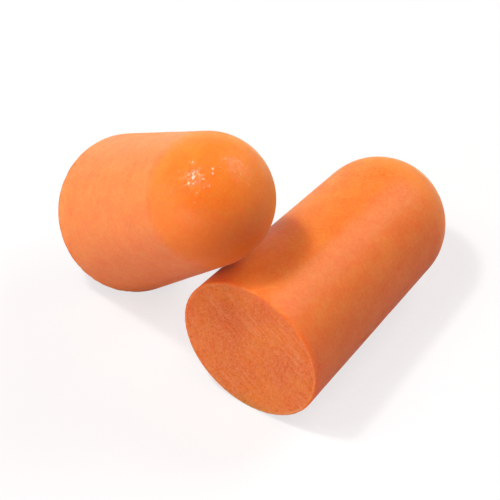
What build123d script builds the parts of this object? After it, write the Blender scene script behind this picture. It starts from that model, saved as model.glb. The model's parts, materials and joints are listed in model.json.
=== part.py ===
from build123d import *
import os
from math import acos, atan2, cos, degrees, hypot, radians, sin, sqrt, tan

# A pair of uncorded foam ear plugs at rest: one lies on its side and the other leans on it.
# Each plug is a single moulding of slow-recovery polyurethane foam. It has a flat cut end,
# a gently tapered flank and a round nose that goes into the ear first.
# Millimetres, +Z up. The pair rests on Z = 0, with the origin in the middle of its footprint.

# One plug.
base_diameter = 13.5  # across the cut end, at the corner that the edge round takes off
plug_length = 24.4  # from the cut end to the tip of the nose
nose_radius = 5.7  # ball that forms the nose, tangent to the flank
cut_edge_radius = 0.15  # the skin rolls in by this much where the foam is cut

# How the two plugs rest. Headings run from +X towards +Y, and point the way the nose points.
lying_heading = 54.5
leaning_heading = -60.1
lean_angle = 46.7  # of the leaning plug's axis above the floor
touch_distance = 3.9  # along the lying plug, from its cut end to where the other one touches it
touch_gap = 0.1  # left between the two flanks, so that no foam is pressed in

# The flank is the straight line from the corner of the cut end, tangent to the nose ball.
base_radius = base_diameter / 2
nose_centre = plug_length - nose_radius
taper = acos(nose_radius / hypot(base_radius, nose_centre)) - atan2(nose_centre, base_radius)
flank_end_radius = nose_radius * cos(taper)
flank_end = nose_centre + nose_radius * sin(taper)

# The edge round is a ring of this radius, one round's height above the cut end.
rim_radius = base_radius - cut_edge_radius * (1 + sin(taper)) / cos(taper)


def direction(heading, rise):
    """Unit vector at a heading in degrees, rising above the floor by an angle in radians."""
    across = radians(heading)
    return Vector(cos(rise) * cos(across), cos(rise) * sin(across), sin(rise))


def flank_radius(distance):
    """Radius of the flank at a distance from the cut end."""
    return base_radius - distance * tan(taper)


def touching_normal(lower_axis, upper_axis):
    """Normal of the plane that touches both flanks, pointing up from the lower plug.

    A flank's normal leans towards its own nose by the taper, so the shared one leans by that
    much towards the lower nose and away from the upper nose.
    """
    lean = (lower_axis - upper_axis) * (sin(taper) / (1 - lower_axis.dot(upper_axis)))
    square = lower_axis.cross(upper_axis).normalized()
    upward = square if square.Z > 0 else -square
    return lean + upward * sqrt(1 - lean.dot(lean))


def leaning_base_centre(lying_centre, lying_axis, leaning_axis):
    """Centre of the leaning plug's cut end, with its rim on the floor and its flank on the other."""
    normal = touching_normal(lying_axis, leaning_axis)
    lying_side = (normal - lying_axis * sin(taper)) / cos(taper)
    leaning_side = (-normal - leaning_axis * sin(taper)) / cos(taper)
    touch = lying_centre + lying_axis * touch_distance + lying_side * flank_radius(touch_distance)
    touch += normal * touch_gap
    # Going down its flank from the touching point, the plug ends where its rim is on the floor.
    down_flank = leaning_axis - leaning_side * tan(taper)
    corner = touch - leaning_side * base_radius
    rim_height = rim_radius * cos(rise_of_leaning) + cut_edge_radius * (1 - sin(rise_of_leaning))
    return corner - down_flank * ((corner.Z - rim_height) / down_flank.Z)


def reach(centre, axis, along):
    """How far a plug reaches along a direction: to its nose ball or its rim."""
    nose = (centre + axis * nose_centre).dot(along) + nose_radius
    rim_centre = centre + axis * cut_edge_radius
    rim = rim_centre.dot(along) + rim_radius * sqrt(1 - axis.dot(along) ** 2) + cut_edge_radius
    return max(nose, rim)


def foam_plug(label, centre, axis):
    """One plug: its half section, turned about its axis from the centre of the cut end."""
    seat = Plane(origin=centre, z_dir=axis)
    with BuildPart() as plug:
        with BuildSketch(Plane(origin=centre, x_dir=seat.x_dir, z_dir=-seat.y_dir)) as half_section:
            with BuildLine():
                cut_face = Line((0, 0), (base_radius, 0))
                flank = Line(cut_face @ 1, (flank_end_radius, flank_end))
                nose = CenterArc((0, nose_centre), nose_radius, degrees(taper), 90 - degrees(taper))
                Line(nose @ 1, cut_face @ 0)
            make_face()
            cut_corner = half_section.vertices().sort_by(Axis.X)[-1]
            fillet(cut_corner, radius=cut_edge_radius)
        revolve(axis=Axis(centre, axis))
    plug.part.label = label
    return plug.part


# The lying plug rests on its flank, so its axis dips towards the nose by the taper.
rise_of_leaning = radians(lean_angle)
lying_axis = direction(lying_heading, -taper)
leaning_axis = direction(leaning_heading, rise_of_leaning)
lying_centre = Vector(0, 0, base_radius * cos(taper))
leaning_centre = leaning_base_centre(lying_centre, lying_axis, leaning_axis)

# Both plugs move over so that the middle of the pair's footprint is at the origin.
plugs = ((lying_centre, lying_axis), (leaning_centre, leaning_axis))
middle = Vector()
for along in (Vector(1, 0, 0), Vector(0, 1, 0)):
    furthest = max(reach(centre, axis, along) for centre, axis in plugs)
    nearest = -max(reach(centre, axis, -along) for centre, axis in plugs)
    middle += along * ((furthest + nearest) / 2)

lying_plug = foam_plug("lying_plug", lying_centre - middle, lying_axis)
leaning_plug = foam_plug("leaning_plug", leaning_centre - middle, leaning_axis)

os.makedirs("parts", exist_ok=True)
for piece in (lying_plug, leaning_plug):
    export_step(piece, f"parts/{piece.label}.step")
    size = piece.bounding_box().size
    print(piece.label, "volume", round(piece.volume, 1), "mm3, box", size)
print("taper", round(degrees(taper), 2), "deg, flank ends at", round(flank_end, 2))
print("gap between the plugs", round(lying_plug.distance_to(leaning_plug), 3))
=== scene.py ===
# %% Load the construction
import json
from math import acos, atan2, cos, hypot, pi, radians, sin, tan

import bpy
import numpy as np
from mathutils import Matrix, Vector, noise


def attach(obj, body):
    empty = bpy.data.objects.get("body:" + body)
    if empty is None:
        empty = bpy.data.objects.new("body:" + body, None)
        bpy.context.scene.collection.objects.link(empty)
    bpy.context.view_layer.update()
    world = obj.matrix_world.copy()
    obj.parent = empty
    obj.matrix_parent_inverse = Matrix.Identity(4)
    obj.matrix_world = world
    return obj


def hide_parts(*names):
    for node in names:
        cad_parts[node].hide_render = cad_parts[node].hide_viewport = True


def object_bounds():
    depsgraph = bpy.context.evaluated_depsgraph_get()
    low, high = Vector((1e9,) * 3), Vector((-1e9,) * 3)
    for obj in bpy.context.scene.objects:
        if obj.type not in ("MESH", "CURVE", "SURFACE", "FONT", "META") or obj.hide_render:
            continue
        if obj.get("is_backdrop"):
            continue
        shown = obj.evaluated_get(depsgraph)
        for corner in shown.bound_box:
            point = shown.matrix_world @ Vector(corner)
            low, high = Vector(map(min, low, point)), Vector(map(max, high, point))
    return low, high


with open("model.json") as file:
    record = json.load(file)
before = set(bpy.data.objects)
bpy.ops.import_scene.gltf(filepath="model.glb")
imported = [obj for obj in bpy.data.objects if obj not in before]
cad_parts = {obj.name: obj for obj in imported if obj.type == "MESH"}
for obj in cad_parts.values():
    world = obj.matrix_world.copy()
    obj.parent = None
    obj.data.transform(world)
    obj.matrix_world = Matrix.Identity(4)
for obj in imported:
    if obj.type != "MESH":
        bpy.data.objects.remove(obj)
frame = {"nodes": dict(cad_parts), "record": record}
cad_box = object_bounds()
mounts = {mount["name"]: mount for mount in frame["record"]["mounts"]}
MM = 0.001

# %% [markdown]
# ## A pair of foam ear plugs
# Two plugs of soft orange foam: one lies on its side and the other leans its rounded nose
# over it. Each is one piece of foam with two finishes. The flank and the nose are a thin,
# closed skin, where the foam met its mould. The flat end was cut with a knife, so there the
# cells are open. The script measures a plug, builds one mesh of rings, roughens it twice with
# different seeds, gives it the two finishes, and then sets up a plain pale studio.

# %% [markdown]
# ## The size of a plug
# Both plugs came out of one mould, so one set of sizes serves them. A plug is a turned form:
# a flat cut end, a straight tapered flank and a ball for a nose. The record says where the
# cut end and the nose ball are, and the widest ring of the CAD mesh gives the base. The
# numbers could be typed in again here, but then a change in the CAD would leave this file
# behind.

# %% Where a plug lies


def cut_end(which):
    """Centre of a plug's cut end, and the direction from there to its nose."""
    mount = mounts[which + "_cut_end"]
    return Vector(mount["pos_m"]), -Vector(mount["axis"]).normalized()


def half_section(which):
    """Distance from the cut end, and from the axis, of each corner of a plug's CAD mesh."""
    centre, axis = cut_end(which)
    section = []
    for corner in frame["nodes"][which + "_plug"].data.vertices:
        place = corner.co - centre
        along = place.dot(axis)
        section.append((along, (place - axis * along).length))
    return section


for which in ("lying", "leaning"):
    centre, axis = cut_end(which)
    print(which, "cut end at", [round(number / MM, 2) for number in centre], "mm")
    print("  its nose points along", [round(number, 3) for number in axis])

# %% [markdown]
# ## From the corners to the taper
# The flank is the line that starts at the widest ring and just touches the nose ball. Two
# angles give its slope: the angle at which the ball is seen from the widest ring, and the
# angle of the line from that ring to the ball's centre. This is how a draughtsman draws a
# tangent with a compass, and it joins flank and nose with no crease.

# %% Measure a plug
nose_ball = mounts["lying_ear_end"]
nose_radius = nose_ball["dims"]["r_mm"] * MM
nose_centre = (Vector(nose_ball["pos_m"]) - cut_end("lying")[0]).length
widest_at, widest = max(half_section("lying"), key=lambda corner: corner[1])
ahead = nose_centre - widest_at
taper = acos(nose_radius / hypot(widest, ahead)) - atan2(ahead, widest)
base_radius = widest + widest_at * tan(taper)
flank_end = nose_centre + nose_radius * sin(taper)
tip = nose_centre + nose_radius
print(f"base {2 * base_radius / MM:.2f} mm, nose {2 * nose_radius / MM:.2f} mm")
print(f"length {tip / MM:.2f} mm, taper {taper * 180 / pi:.2f} degrees")

# %% [markdown]
# ## Rings instead of a lathe
# A lathe, or Blender's Screw modifier, pinches every column of faces into one point at the
# middle of the cut end and at the tip of the nose. Relief as fine as foam cells would smear
# there. So each disc is made of rings that hold six more corners than the ring inside, and
# its triangles are all about one size. The flank between the two discs keeps the corner
# count of their outer rings, so no seam shows.

# %% Fineness of the mesh
SECTORS = 6
DISC_RINGS = 90
AROUND = SECTORS * DISC_RINGS
FLANK_ROWS = 88
ROUND_ROWS = 4
cut_edge_radius = widest_at / (1 + sin(taper))
rim_radius = base_radius - cut_edge_radius * (1 + sin(taper)) / cos(taper)
print("corners around the flank:", AROUND)
print(f"corners are {rim_radius / DISC_RINGS / MM:.3f} mm apart on the cut end")

# %% A ring of corners


def ring(count, radius, height, out, up):
    """Corners on one ring, with the direction that the surface faces at each."""
    turn = np.arange(count) * (2 * pi / count)
    level = np.full(count, height)
    places = np.column_stack([radius * np.cos(turn), radius * np.sin(turn), level])
    facing = np.column_stack([out * np.cos(turn), out * np.sin(turn), np.full(count, up)])
    return places, facing


def cut_disc():
    """Rings of the flat cut end, from its middle out to where the edge round starts."""
    rings = []
    for step in range(DISC_RINGS + 1):
        rings.append(ring(max(1, SECTORS * step), rim_radius * step / DISC_RINGS, 0, 0, -1))
    return rings


print("rings on the cut end:", len(cut_disc()))

# %% [markdown]
# ## The side and the nose
# The knife leaves a small round where it meets the skin, so a few rows turn the corner
# there. Then the rows climb the flank in even steps. The nose rows are spaced by angle and
# not by height, because even heights would leave wide gaps near the tip, where the ball
# turns away fastest.

# %% Rows of the side and of the nose


def side_rows():
    """Rows of the edge round and the flank, from the cut end towards the nose."""
    rows = []
    for step in range(1, ROUND_ROWS):
        face = step / ROUND_ROWS * (pi / 2 + taper)
        out, up = sin(face), -cos(face)
        radius = rim_radius + cut_edge_radius * out
        rows.append(ring(AROUND, radius, cut_edge_radius * (1 + up), out, up))
    start = cut_edge_radius * (1 + sin(taper))
    for step in range(FLANK_ROWS):
        height = start + (flank_end - start) * step / FLANK_ROWS
        radius = base_radius - height * tan(taper)
        rows.append(ring(AROUND, radius, height, cos(taper), sin(taper)))
    return rows


def nose_disc():
    """Rings of the nose ball, from its tip back to the end of the flank."""
    rings = []
    for step in range(DISC_RINGS + 1):
        face = pi / 2 - (pi / 2 - taper) * step / DISC_RINGS
        out, up = cos(face), sin(face)
        radius = nose_radius * out
        height = nose_centre + nose_radius * up
        rings.append(ring(max(1, SECTORS * step), radius, height, out, up))
    return rings


all_rings = cut_disc() + side_rows() + nose_disc()
smooth_places = np.vstack([places for places, facing in all_rings])
smooth_facing = np.vstack([facing for places, facing in all_rings])
disc_corners = 1 + 3 * DISC_RINGS * (DISC_RINGS + 1)
print("corners of one plug:", len(smooth_places), "of them on a disc:", disc_corners)

# %% [markdown]
# ## Faces between the rings
# A disc falls into six equal sectors. In each one, a ring has one more corner than the ring
# inside, so a strip between two rings is a row of triangles that point out and in by turns.
# The side needs only quads between rows of one length. Corners are shared throughout, so
# the plug is one closed skin and light that soaks into it can't leak out at a join.

# %% Triangles of a disc


def disc_corner(start, step, number):
    """Index of a corner, counted around ring number step of the disc that starts at start."""
    if step == 0:
        return start
    return start + 1 + 3 * step * (step - 1) + number % (SECTORS * step)


def disc_faces(start, clockwise):
    """Triangles of a disc whose rings hold one corner, then 6, 12, 18 and so on."""
    faces = []
    for step in range(1, DISC_RINGS + 1):
        for sector in range(SECTORS):
            for number in range(step):
                outer = disc_corner(start, step, sector * step + number)
                after = disc_corner(start, step, sector * step + number + 1)
                inner = disc_corner(start, step - 1, sector * (step - 1) + number)
                faces.append((outer, after, inner))
                if number < step - 1:
                    beside = disc_corner(start, step - 1, sector * (step - 1) + number + 1)
                    faces.append((inner, after, beside))
    if clockwise:
        faces = [face[::-1] for face in faces]
    return faces


cut_faces = disc_faces(0, clockwise=True)
nose_faces = disc_faces(len(smooth_places) - disc_corners, clockwise=False)
print("triangles:", len(cut_faces), "on the cut end and", len(nose_faces), "on the nose")

# %% Quads of the side


def side_faces():
    """Quads from the cut end's outer ring over the side rows to the nose's outer ring."""
    rows = ROUND_ROWS - 1 + FLANK_ROWS
    starts = [disc_corners - AROUND]
    starts += [disc_corners + AROUND * row for row in range(rows)]
    starts.append(len(smooth_places) - AROUND)
    faces = []
    for low, high in zip(starts, starts[1:]):
        for number in range(AROUND):
            after = (number + 1) % AROUND
            faces.append((low + number, low + after, high + after, high + number))
    return faces


flank_faces = side_faces()
print("quads on the side:", len(flank_faces))

# %% [markdown]
# ## The skin isn't a perfect cone
# Foam that swelled in a mould comes out a little uneven. The corners are moved along the
# way they face by smooth noise: a slow swell of a few hundredths of a millimetre, and
# smaller dimples on it. Near the cut the skin puckers, because the blade dragged it. A bump
# in the material could fake this, but only real relief shows in the outline. All the relief
# goes inwards from the CAD surface, so the plug doesn't sink into the table or grow.

# %% Swell and pucker
SWELL = 0.030 * MM
SWELL_WIDTH = 5.0 * MM
DIMPLE = 0.008 * MM
DIMPLE_WIDTH = 1.3 * MM
PUCKER = 0.055 * MM
PUCKER_WIDTH = 0.45 * MM
PUCKER_REACH = 0.6 * MM


def held(value, low, high):
    """How far a value is from low to high, held between 0 and 1."""
    return min(1, max(0, (value - low) / (high - low)))


def skin_relief(place, shift):
    """How far the skin stands above or below its smooth form."""
    swell = SWELL * noise.noise(place / SWELL_WIDTH + shift)
    return swell + DIMPLE * noise.noise(place / DIMPLE_WIDTH + shift)


def pucker(place, shift):
    """Small lumps in the skin, which fade out away from the cut."""
    share = 1 - held(place.z, 0.0, PUCKER_REACH)
    return share * PUCKER * noise.noise(place / PUCKER_WIDTH - shift)


sample = [skin_relief(Vector(place), Vector()) for place in smooth_places[::500]]
print(f"the skin moves from {min(sample) / MM:.3f} to {max(sample) / MM:.3f} mm")

# %% [markdown]
# ## Open cells on the cut end
# Cut foam is a felt of torn cell walls around small pits. Voronoi noise is made for this:
# it scatters seeds and tells how far a place is from the nearest and the second nearest.
# Where the two are equal there is a wall, and where they differ most there is the middle
# of a cell. Real walls aren't straight and the knife has drawn the cells out a little, so
# the places are stretched along the knife's way and warped by noise before they are looked
# up, and fine crumbs are added to the result. The noise that gives vectors starts from the
# clock unless it is told where to start, so its seed is set once, and the cells come out the
# same each run.

# %% Cells
CELL = 0.30 * MM
CELL_DEPTH = 0.09 * MM
DRAWN_OUT = 1.35
WARP = 0.55 * CELL
WARP_WIDTH = 1.1 * CELL
CRUMB_WIDTH = 0.35 * CELL
KNIFE_TURN = radians(35)
noise.seed_set(7)


def along_the_cut(place):
    """Distances along and across the way that the knife went."""
    along = place.x * cos(KNIFE_TURN) + place.y * sin(KNIFE_TURN)
    across = place.y * cos(KNIFE_TURN) - place.x * sin(KNIFE_TURN)
    return along, across


def cell_opening(place, shift):
    """1 in the middle of an open cell, 0 on the torn walls between cells."""
    along, across = along_the_cut(place)
    drawn = Vector((along / DRAWN_OUT, across, 0))
    warp = noise.noise_vector(drawn / WARP_WIDTH + shift) * WARP
    near, second = noise.voronoi((drawn + warp) / CELL + shift)[0][:2]
    crumbs = noise.noise(drawn / CRUMB_WIDTH - shift)
    return held(second - near + 0.25 * crumbs, 0.05, 0.60)


sample = [cell_opening(Vector(place), Vector()) for place in smooth_places[:disc_corners:50]]
print(f"{100 * sum(value > 0.5 for value in sample) / len(sample):.0f}% of the cut is open cell")

# %% [markdown]
# ## Marks of the knife
# A blade with a fine nick leaves long shallow furrows. They are noise that is stretched far
# along the knife's way and hardly across it. A second, broad noise decides where the
# furrows show, because they come and go over the face. Their value is also kept on the
# corners, so that the material can paint shade into the same furrows that the relief sinks,
# and paint the ridges between them a little paler.

# %% Furrows
FURROW_LENGTH = 2.6 * MM
FURROW_WIDTH = 0.24 * MM
FURROW_DEPTH = 0.030 * MM
PATCH_WIDTH = 5.0 * MM


def knife_marks(place, shift):
    """Long shallow furrows that the knife dragged across part of the cut."""
    along, across = along_the_cut(place)
    furrow = noise.noise(Vector((along / FURROW_LENGTH, across / FURROW_WIDTH, 0)) + shift)
    where = noise.noise(place / PATCH_WIDTH - shift)
    return furrow * held(where, -0.35, 0.25)


sample = [knife_marks(Vector(place), Vector()) for place in smooth_places[:disc_corners:50]]
print(f"furrows run from {min(sample):.2f} to {max(sample):.2f}")

# %% [markdown]
# ## One pass over all the corners
# Relief is easiest to keep right when each corner is visited once and asked where it is: on
# the cut, on the rim of skin around the cut, or on the skin. Three values go with the
# moves and end up on the mesh as attributes: how open the cell is, how deep the furrow is,
# and how much of the corner belongs to the rim. Materials can read them later, so colour
# and relief always agree, also where the colour paints shade into pits and furrows. The rim
# is thin and pale, partly as a painted highlight on its round edge, and ragged noise breaks it
# up.

# %% Relief of a plug
SKIN = 0.12 * MM
RAG_WIDTH = 0.5 * MM
CUT_SINK = 0.03 * MM


def cut_relief(place, shift):
    """Move, cell opening, furrow and rim share of a corner on the cut end."""
    inside = rim_radius - hypot(place.x, place.y)
    cut = held(inside, 0.3 * SKIN, 1.6 * SKIN)
    opening = cut * cell_opening(place, shift)
    furrow = cut * knife_marks(place, shift)
    ragged = held(0.5 + noise.noise(place / RAG_WIDTH + shift), 0.2, 0.7)
    # The rim's share, which the cut's material paints pale, partly as a painted highlight.
    rim = ragged * (1 - held(inside, 0.2 * SKIN, 1.2 * SKIN))
    move = FURROW_DEPTH * furrow - cut * (CUT_SINK + CELL_DEPTH * opening)
    return move, opening, furrow, rim


def relief_of(seed):
    """How far each corner moves along its facing, and the values it carries."""
    shift = Vector((seed * 31.7, seed * 17.3, seed * 5.9))
    values = np.zeros((len(smooth_places), 4))
    for index, (place, facing) in enumerate(zip(smooth_places, smooth_facing)):
        place = Vector(place)
        move, opening, furrow, rim = skin_relief(place, shift), 0, 0, 0
        if facing[2] < -0.9:
            deeper, opening, furrow, rim = cut_relief(place, shift)
            move += deeper
        else:
            move += pucker(place, shift)
            # Rim share on the skin side, painted pale by the cut's material, partly as a
            # highlight.
            rim = 1 - held(place.z, 0.5 * SKIN, 1.5 * SKIN)
        values[index] = (min(move, 0), opening, furrow, rim)
    return values.T


reliefs = {"lying": relief_of(1), "leaning": relief_of(2)}
for which, values in reliefs.items():
    deep = -values[0] / MM
    print(f"{which} plug: deepest relief {deep.max():.3f} mm, mean {deep.mean():.3f} mm")

# %% [markdown]
# ## Where the nose begins
# The skin changes at the shoulder: the flank is dull, and the ball of the nose is smooth
# and a little waxy. A value from 0 on the flank to 1 near the tip says how far the change
# has gone. It is kept on the corners with the others, and the skin material reads it.

# %% Build a plug
SHOULDER = 0.6 * MM
FRONT = 1.6 * MM


def nose_share():
    """0 on the flank, 1 on the front of the nose ball."""
    heights = smooth_places[:, 2]
    start = flank_end + SHOULDER
    return np.clip((heights - start) / (tip - FRONT - start), 0, 1)


def plug_mesh(which):
    """The rough plug, standing on its cut end at the origin."""
    moves, openings, furrows, rims = reliefs[which]
    places = smooth_places + smooth_facing * moves[:, None]
    mesh = bpy.data.meshes.new(which + "_foam")
    mesh.from_pydata(places.tolist(), [], cut_faces + flank_faces + nose_faces)
    mesh.polygons.foreach_set("use_smooth", [True] * len(mesh.polygons))
    kept = {"cell_opening": openings, "knife_furrow_and_shade": furrows, "skin_rim_and_highlight": rims}
    kept["nose"] = nose_share()
    for name, values in kept.items():
        layer = mesh.attributes.new(name, "FLOAT", "POINT")
        layer.data.foreach_set("value", values.astype(np.float32))
    return mesh


def make_plug(which):
    """One plug, placed where the CAD has it and tied to its CAD node."""
    mesh = plug_mesh(which)
    centre, axis = cut_end(which)
    stand = axis.to_track_quat("Z", "Y").to_matrix().to_4x4()
    mesh.transform(Matrix.Translation(centre) @ stand)
    piece = bpy.data.objects.new(which + "_foam_plug", mesh)
    bpy.context.scene.collection.objects.link(piece)
    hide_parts(which + "_plug")
    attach(piece, which + "_plug")
    return piece


lying = make_plug("lying")
leaning = make_plug("leaning")
for piece in (lying, leaning):
    print(piece.name, [round(side / MM, 2) for side in piece.dimensions], "mm")

# %% [markdown]
# ## Two finishes on one mesh
# The flat end shows cut cells and the rest shows skin, so each face of the mesh is told
# which of two materials it takes. The plug could be two objects instead, but then each
# would have an open edge, and light inside the foam would see a hole.

# %% Share out the faces
for piece in (lying, leaning):
    finish = [1] * len(cut_faces) + [0] * (len(flank_faces) + len(nose_faces))
    piece.data.polygons.foreach_set("material_index", finish)
    print(piece.name, "has", sum(finish), "cut faces of", len(finish))

# %% [markdown]
# ## Helpers for materials
# A material here is a small net of nodes. Written out in full, each node takes four or five
# lines, which hides what it is for. These helpers make one node each and return the socket
# that matters, so that a finish below reads like a recipe.

# %% One node at a time


def add(tree, kind, **sockets):
    """A node with some of its sockets set by name."""
    node = tree.nodes.new(kind)
    for socket, value in sockets.items():
        node.inputs[socket.replace("_", " ")].default_value = value
    return node


def join(tree, value, socket):
    """A socket gets either a plain value or the result of another node."""
    if isinstance(value, bpy.types.NodeSocket):
        tree.links.new(value, socket)
    else:
        socket.default_value = value


def read(tree, name):
    """A value that the mesh carries on its corners."""
    node = tree.nodes.new("ShaderNodeAttribute")
    node.attribute_name = name
    return node.outputs["Fac"]


def lumps(tree, where, size, detail, roughness=0.5):
    """Noise whose lumps are about one size across."""
    node = add(tree, "ShaderNodeTexNoise", Scale=1 / size, Detail=detail, Roughness=roughness)
    tree.links.new(where, node.inputs["Vector"])
    return node.outputs["Fac"]


print("made add, join, read and lumps")

# %% Ranges, sums and blends


def spread(tree, value, low, high, low_to, high_to):
    """The value stretched from one range to another, and held at its ends."""
    node = add(tree, "ShaderNodeMapRange", From_Min=low, From_Max=high)
    join(tree, value, node.inputs["Value"])
    join(tree, low_to, node.inputs["To Min"])
    join(tree, high_to, node.inputs["To Max"])
    return node.outputs["Result"]


def sum_of(tree, operation, *parts):
    """Numbers put together by one sum, such as ADD or MULTIPLY."""
    node = tree.nodes.new("ShaderNodeMath")
    node.operation = operation
    for part, socket in zip(parts, node.inputs):
        join(tree, part, socket)
    return node.outputs["Value"]


def vector_sum(tree, operation, *parts):
    """Vectors put together by one sum."""
    node = tree.nodes.new("ShaderNodeVectorMath")
    node.operation = operation
    for part, socket in zip(parts, node.inputs):
        join(tree, part, socket)
    return node.outputs["Vector"]


def blend(tree, share, first, second):
    """A colour between two colours."""
    node = tree.nodes.new("ShaderNodeMix")
    node.data_type = "RGBA"
    sides = [socket for socket in node.inputs if socket.type == "RGBA"]
    join(tree, first, sides[0])
    join(tree, second, sides[1])
    join(tree, share, node.inputs["Factor"])
    return [out for out in node.outputs if out.type == "RGBA"][0]


def rough_up(tree, height, depth):
    """Shading as if the surface rose by a depth where the height is 1."""
    node = add(tree, "ShaderNodeBump", Distance=depth, Strength=1.0)
    tree.links.new(height, node.inputs["Height"])
    return node.outputs["Normal"]


print("made spread, sum_of, vector_sum, blend and rough_up")

# %% [markdown]
# ## Foam that light soaks into
# Light doesn't stop at the surface of soft foam. It wanders from cell to cell and comes out
# again some way off, and in orange foam only the red part of it gets far. Subsurface
# scattering does this: the radius says how far each colour wanders. It is why the shadow
# that one plug throws on the other glows red and not grey. Skin and cut share this part.

# %% Foam body
SOAK = 1.8 * MM


def foam(name):
    """A material with what the skin and the cut share, and the place on the plug."""
    material = bpy.data.materials.new(name)
    material.use_nodes = True
    tree = material.node_tree
    shader = tree.nodes["Principled BSDF"].inputs
    shader["Subsurface Weight"].default_value = 1.0
    shader["Subsurface Radius"].default_value = (1, 0.2, 0.1)
    shader["Subsurface Scale"].default_value = SOAK
    where = tree.nodes.new("ShaderNodeTexCoord").outputs["Object"]
    return material, tree, shader, where


print(f"red light soaks {SOAK / MM:.1f} mm, blue {0.1 * SOAK / MM:.2f} mm")

# %% [markdown]
# ## Colour of the skin
# The skin isn't one orange. There are clouds a few millimetres wide where it is thicker,
# and a fine grain as small as the closed cells just under it. The ball of the nose was
# pressed smooth and is a clean, strong orange, while the flank goes further into yellow
# and pink in its grain. Both tones use the same clouds and grain, and the value from the
# corners blends one into the other over the shoulder.

# %% Skin colour
NOSE_TONES = ((0.83, 0.208, 0.024, 1), (0.87, 0.268, 0.036, 1))
FLANK_TONES = ((0.80, 0.158, 0.018, 1), (0.87, 0.282, 0.050, 1))
CLOUD = 1.5 * MM
GRAIN = 0.26 * MM


def skin_colour(tree, where):
    """Clouds and grain between two tones, on the nose and on the flank."""
    clouds = spread(tree, lumps(tree, where, CLOUD, 2), 0.3, 0.7, 0, 0.4)
    grain = spread(tree, lumps(tree, where, GRAIN, 2), 0.3, 0.7, 0, 0.6)
    tone = sum_of(tree, "ADD", clouds, grain)
    nose = blend(tree, tone, *NOSE_TONES)
    flank = blend(tree, tone, *FLANK_TONES)
    return blend(tree, spread(tree, read(tree, "nose"), 0, 0.25, 0, 1), flank, nose)


print("skin tones:", FLANK_TONES[0][:3], "to", NOSE_TONES[1][:3])

# %% [markdown]
# ## Glints of the skin
# On the nose a lamp doesn't show as one soft spot but as a cluster of tiny glints. The
# smooth skin is a patchwork of cell tops, each tilted its own way, and a glint is a top
# that happens to face halfway to the lamp. Bump noise can't do this, since its slopes change
# within a cell. Voronoi noise gives each cell one random colour, and a colour is three
# numbers, which serve as a tilt. Cubing the numbers keeps most cells nearly level and
# leaves a few well tilted, so the glints crowd in the middle and thin out around it. On the
# flank the cells are so fine that they can't be told apart. There they only soften every
# reflection into a broad pale band, as a rougher film would.

# %% Tilted cell tops
NOSE_TOP = 0.19 * MM
NOSE_TILT = 0.26
FLANK_TOP = 0.06 * MM
FLANK_TILT = 0.42


def cell_tops(tree, where, size, tilt):
    """A small random tilt for each cell top, none on most of them."""
    cells = add(tree, "ShaderNodeTexVoronoi", Scale=1 / size)
    tree.links.new(where, cells.inputs["Vector"])
    lean = vector_sum(tree, "MULTIPLY_ADD", cells.outputs["Color"], (2, 2, 2), (-1, -1, -1))
    squared = vector_sum(tree, "MULTIPLY", lean, lean)
    cubed = vector_sum(tree, "MULTIPLY", squared, lean)
    return vector_sum(tree, "MULTIPLY", cubed, tilt)


def film_facing(tree, where):
    """The way the film faces: fine cell tops on the flank, wider ones on the nose."""
    nose = read(tree, "nose")
    wide = cell_tops(tree, where, NOSE_TOP, spread(tree, nose, 0, 0.3, 0, NOSE_TILT))
    fine = cell_tops(tree, where, FLANK_TOP, spread(tree, nose, 0, 0.3, FLANK_TILT, 0))
    level = tree.nodes.new("ShaderNodeNewGeometry").outputs["Normal"]
    tilted = vector_sum(tree, "ADD", level, vector_sum(tree, "ADD", wide, fine))
    return vector_sum(tree, "NORMALIZE", tilted)


print(f"cell tops: {NOSE_TOP / MM:.2f} mm on the nose, {FLANK_TOP / MM:.2f} mm on the flank")

# %% [markdown]
# ## The skin put together
# Under the film the foam has no gloss of its own, so the plain specular level is 0. The
# film is a thin coat that covers about a quarter of the surface. Sheen stands for the down of
# torn foam on the skin, which lights up where it is seen edge on, and it gives the flank
# its pale bloom. Fine pores are a bump, because they are far smaller than the faces of the
# mesh.

# %% Moulded skin
PORE = 0.20 * MM
PORE_DEPTH = 0.018 * MM


def moulded_skin():
    """Closed skin of the flank and the nose."""
    material, tree, shader, where = foam("moulded_foam_skin")
    tree.links.new(skin_colour(tree, where), shader["Base Color"])
    pores = lumps(tree, where, PORE, 2)
    tree.links.new(rough_up(tree, pores, PORE_DEPTH), shader["Normal"])
    nose = read(tree, "nose")
    tree.links.new(spread(tree, nose, 0, 1, 0.36, 0.75), shader["Roughness"])
    shader["Specular IOR Level"].default_value = 0.0
    shader["Sheen Weight"].default_value = 0.12
    shader["Sheen Roughness"].default_value = 0.4
    tree.links.new(spread(tree, nose, 0, 1, 0.28, 0.22), shader["Coat Weight"])
    shader["Coat Roughness"].default_value = 0.2
    shader["Coat IOR"].default_value = 1.6
    tree.links.new(film_facing(tree, where), shader["Coat Normal"])
    return material


skin = moulded_skin()
print(skin.name, "has", len(skin.node_tree.nodes), "nodes")

# %% [markdown]
# ## The cut put together
# The cut is matt: its walls stand every way, so no gloss forms. Its colour drifts between
# a pinkish and a yellowish orange in clouds a few millimetres wide, and follows the relief
# on top of that. Pits are painted darker and redder, as painted shade for the light that
# bounces around in them before it comes out. Crumbs of torn wall are painted pale as a
# painted highlight for the light they catch, and the furrows paint shade by leaving fewer
# crumbs where the relief sinks and more on the ridges. The rim is the edge of the skin seen
# end on, paler than both, partly as a painted highlight where its round edge catches light.

# %% Cut foam
WALL_TONES = ((0.71, 0.150, 0.038, 1), (0.82, 0.242, 0.034, 1))
# Painted shade: the pits are darker and redder than the walls around them.
PIT_SHADE_TONE = (0.70, 0.158, 0.030, 1)
# Painted highlight: crumbs are paler, for the light that they catch.
CRUMB_HIGHLIGHT_TONE = (0.87, 0.335, 0.120, 1)
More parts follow.
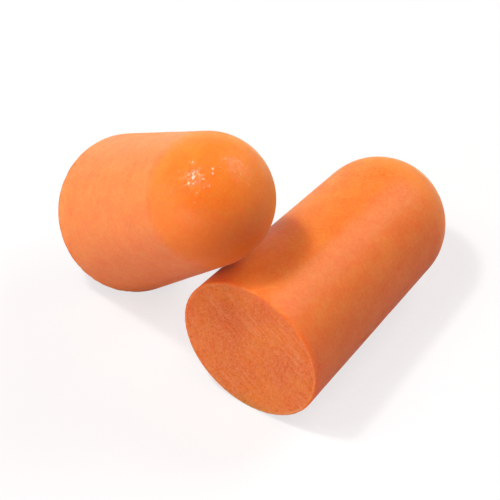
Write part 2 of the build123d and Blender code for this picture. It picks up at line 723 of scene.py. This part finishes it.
# Partly painted highlight: the rim is paler where its round edge catches light.
RIM_TONE_AND_HIGHLIGHT = (0.86, 0.380, 0.170, 1)
CUT_CLOUD = 3.0 * MM
CRUMB = 0.22 * MM
CRUMB_DEPTH = 0.05 * MM


def cut_colour(tree, where):
    """Cut end walls, painted shade in pits and furrows, painted highlight on crumbs and rim."""
    clouds = spread(tree, lumps(tree, where, CUT_CLOUD, 3), 0.3, 0.7, 0, 1)
    wall = blend(tree, clouds, *WALL_TONES)
    # Painted shade in the open cells.
    pit_shade = blend(tree, read(tree, "cell_opening"), wall, PIT_SHADE_TONE)
    crumbs = lumps(tree, where, CRUMB, 4, roughness=0.6)
    # Painted shade and light from the furrows: fewer pale crumbs in them, more on the ridges.
    drawn = sum_of(tree, "MULTIPLY", read(tree, "knife_furrow_and_shade"), 0.2)
    # Painted highlight: the share of pale, lit crumbs.
    crumb_highlight = spread(tree, sum_of(tree, "ADD", crumbs, drawn), 0.40, 0.66, 0, 0.75)
    foam_colour = blend(tree, crumb_highlight, pit_shade, CRUMB_HIGHLIGHT_TONE)
    # Partly painted highlight on the rim of skin.
    rim = spread(tree, read(tree, "skin_rim_and_highlight"), 0, 1, 0, 0.6)
    return blend(tree, rim, foam_colour, RIM_TONE_AND_HIGHLIGHT), crumbs


def cut_cells():
    """Open cells of the cut end."""
    material, tree, shader, where = foam("cut_foam_cells")
    colour, crumbs = cut_colour(tree, where)
    tree.links.new(colour, shader["Base Color"])
    tree.links.new(rough_up(tree, crumbs, CRUMB_DEPTH), shader["Normal"])
    shader["Roughness"].default_value = 0.8
    shader["Specular IOR Level"].default_value = 0.2
    shader["Sheen Weight"].default_value = 0.05
    shader["Sheen Roughness"].default_value = 0.5
    return material


cut = cut_cells()
for piece in (lying, leaning):
    piece.data.materials.append(skin)
    piece.data.materials.append(cut)
    print(piece.name, "wears", [material.name for material in piece.data.materials])

# %% [markdown]
# ## A sheet of white paper
# A product table is a sheet of paper that lies flat and sweeps up behind, so no edge shows.
# This one is round and sweeps up all the way round, because it should look the same from
# every side. White paper would throw so much light back up that the shaded sides would
# lose their colour. So the sheet has two sides to it. The camera and any gloss see white
# paper that keeps the shadows of the plugs, and further out it glows a plain white. Close
# to the plugs, part of what the camera sees is glow as well, which keeps their shadows
# pale. Light that bounces off the sheet meets a dimmer, warmer one, as if orange foam had
# tinted the paper around it.

# %% Paper
PAPER = (0.88, 0.88, 0.88, 1)
BOUNCE = (0.48, 0.17, 0.11, 1)
GLOW_NEAR = 0.7
GLOW_FROM = 0.05
GLOW_FULL = 0.4


def glow_share(tree, path):
    """How much of the paper's white is its own glow, from near the plugs to far off."""
    where = tree.nodes.new("ShaderNodeTexCoord").outputs["Object"]
    length = tree.nodes.new("ShaderNodeVectorMath")
    length.operation = "LENGTH"
    tree.links.new(where, length.inputs[0])
    near = sum_of(tree, "MULTIPLY", path.outputs["Is Camera Ray"], GLOW_NEAR)
    return spread(tree, length.outputs["Value"], GLOW_FROM, GLOW_FULL, near, 1)


def either(tree, share, first, second):
    """A surface that is partly one shader and partly another."""
    node = tree.nodes.new("ShaderNodeMixShader")
    tree.links.new(share, node.inputs[0])
    tree.links.new(first.outputs[0], node.inputs[1])
    tree.links.new(second.outputs[0], node.inputs[2])
    return node


def paper_finish():
    """White to look at or to see in a gloss, dimmer and warm in the light it gives back."""
    material = bpy.data.materials.new("white_paper")
    material.use_nodes = True
    tree = material.node_tree
    tree.nodes.clear()
    path = tree.nodes.new("ShaderNodeLightPath")
    white = add(tree, "ShaderNodeBsdfDiffuse", Color=PAPER)
    glow = add(tree, "ShaderNodeEmission", Color=(1, 1, 1, 1), Strength=1.0)
    back = add(tree, "ShaderNodeBsdfDiffuse", Color=BOUNCE)
    sheet = either(tree, glow_share(tree, path), white, glow)
    seen = sum_of(tree, "MAXIMUM", path.outputs["Is Camera Ray"], path.outputs["Is Glossy Ray"])
    seen = sum_of(tree, "MAXIMUM", seen, path.outputs["Is Transmission Ray"])
    out = tree.nodes.new("ShaderNodeOutputMaterial")
    tree.links.new(either(tree, seen, back, sheet).outputs[0], out.inputs["Surface"])
    return material


paper = paper_finish()
print(paper.name, "has", len(paper.node_tree.nodes), "nodes")

# %% The sweep
FLAT = 1.0
TURN_UP = 0.3
WALL_TOP = 0.5
CORNERS = 96


def sweep_mesh():
    """A flat disc whose edge curves up into a low wall."""
    profile = [(FLAT, 0.0)]
    for turn in np.linspace(0.1, pi / 2, 12):
        profile.append((FLAT + TURN_UP * sin(turn), TURN_UP * (1 - cos(turn))))
    profile.append((FLAT + TURN_UP, WALL_TOP))
    corners = []
    for radius, height in profile:
        for number in range(CORNERS):
            angle = 2 * pi * number / CORNERS
            corners.append((radius * cos(angle), radius * sin(angle), height))
    faces = [tuple(range(CORNERS))]
    for row in range(len(profile) - 1):
        for number in range(CORNERS):
            low = row * CORNERS + number
            after = row * CORNERS + (number + 1) % CORNERS
            faces.append((low, after, after + CORNERS, low + CORNERS))
    mesh = bpy.data.meshes.new("paper_sweep")
    mesh.from_pydata(corners, [], faces)
    return mesh


sweep = bpy.data.objects.new("paper_sweep", sweep_mesh())
bpy.context.scene.collection.objects.link(sweep)
sweep.data.materials.append(paper)
sweep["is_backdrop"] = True
print("the sheet is", round(2 * (FLAT + TURN_UP), 2), "m across")

# %% [markdown]
# ## Light
# A broad lamp high on the left is the main light, and a smaller one beside it gives the
# glints and a shadow with a clear edge. A lamp at the right rear draws a band of light
# along the top of the lying plug, and one at the left does the same for the leaning plug.
# The two in front are low and lift the cut end. Together they light a surface that faces
# them to about the colour it is written in. The world adds a dim warm light from all
# sides, so that no shadow goes black.

# %% Lamps
LAMP_DISTANCE = 0.5


def softbox(name, direction, size, strength):
    """A round lamp that shines at the plugs from half a metre away."""
    lamp = bpy.data.lights.new(name, "AREA")
    lamp.shape = "DISK"
    lamp.size = size
    lamp.energy = strength
    holder = bpy.data.objects.new(name, lamp)
    bpy.context.scene.collection.objects.link(holder)
    way = Vector(direction).normalized()
    holder.location = way * LAMP_DISTANCE
    holder.rotation_euler = way.to_track_quat("Z", "Y").to_euler()
    print(f"{name}: {strength:.2f} W from {size:.2f} m across")


softbox("overhead_left", (-0.42, -0.05, 0.90), size=0.28, strength=0.85)
softbox("glint", (-0.38, 0.0, 0.925), size=0.06, strength=1.05)
softbox("right_rear", (0.62, 0.42, 0.66), size=0.30, strength=1.4)
softbox("left", (-0.95, -0.10, 0.30), size=0.30, strength=0.5)
softbox("front_left", (-0.58, -0.79, 0.15), size=0.35, strength=1.0)
softbox("front_right", (0.30, -0.93, 0.22), size=0.40, strength=0.15)

# %% World
world = bpy.data.worlds.new("studio")
world.use_nodes = True
air = world.node_tree.nodes["Background"].inputs
air["Color"].default_value = (1, 0.4, 0.25, 1)
air["Strength"].default_value = 0.12
bpy.context.scene.world = world
print("world light:", air["Strength"].default_value)

# %% [markdown]
# ## Camera
# A long lens from well back suits small things, because both plugs keep their true
# proportions. The camera looks down at a little under 50 degrees, high enough to see the
# cut end as a full oval and low enough to see the nose of the leaning plug stand clear of
# the table. Its position follows from a rise, a distance and the point it aims at.

# %% Camera
RISE = radians(47.4)
DISTANCE = 766 * MM
AIM = Vector((-0.16, 7.93, 0)) * MM
lens = bpy.data.cameras.new("camera")
lens.sensor_width = 36
lens.lens = 648
lens.clip_end = 10
camera = bpy.data.objects.new("camera", lens)
bpy.context.scene.collection.objects.link(camera)
camera.location = AIM + Vector((0, -cos(RISE), sin(RISE))) * DISTANCE
camera.rotation_euler = (pi / 2 - RISE, 0, 0)
bpy.context.scene.camera = camera
bpy.context.scene.view_settings.view_transform = "Standard"
print("the view is", round(DISTANCE * lens.sensor_width / lens.lens / MM, 1), "mm wide")

# %% [markdown]
# ## The size of the plugs
# Relief and rings must not change how big the plugs are. The box around the CAD parts was
# kept at the start, and the box around the finished pieces is measured now. The sizes of
# both are printed.

# %% Sizes
visual_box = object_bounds()
boxes = {"cad": [list(corner) for corner in cad_box]}
boxes["visual"] = [list(corner) for corner in visual_box]
for name, (low, high) in boxes.items():
    print(name, [round((top - bottom) / MM, 3) for bottom, top in zip(low, high)], "mm")
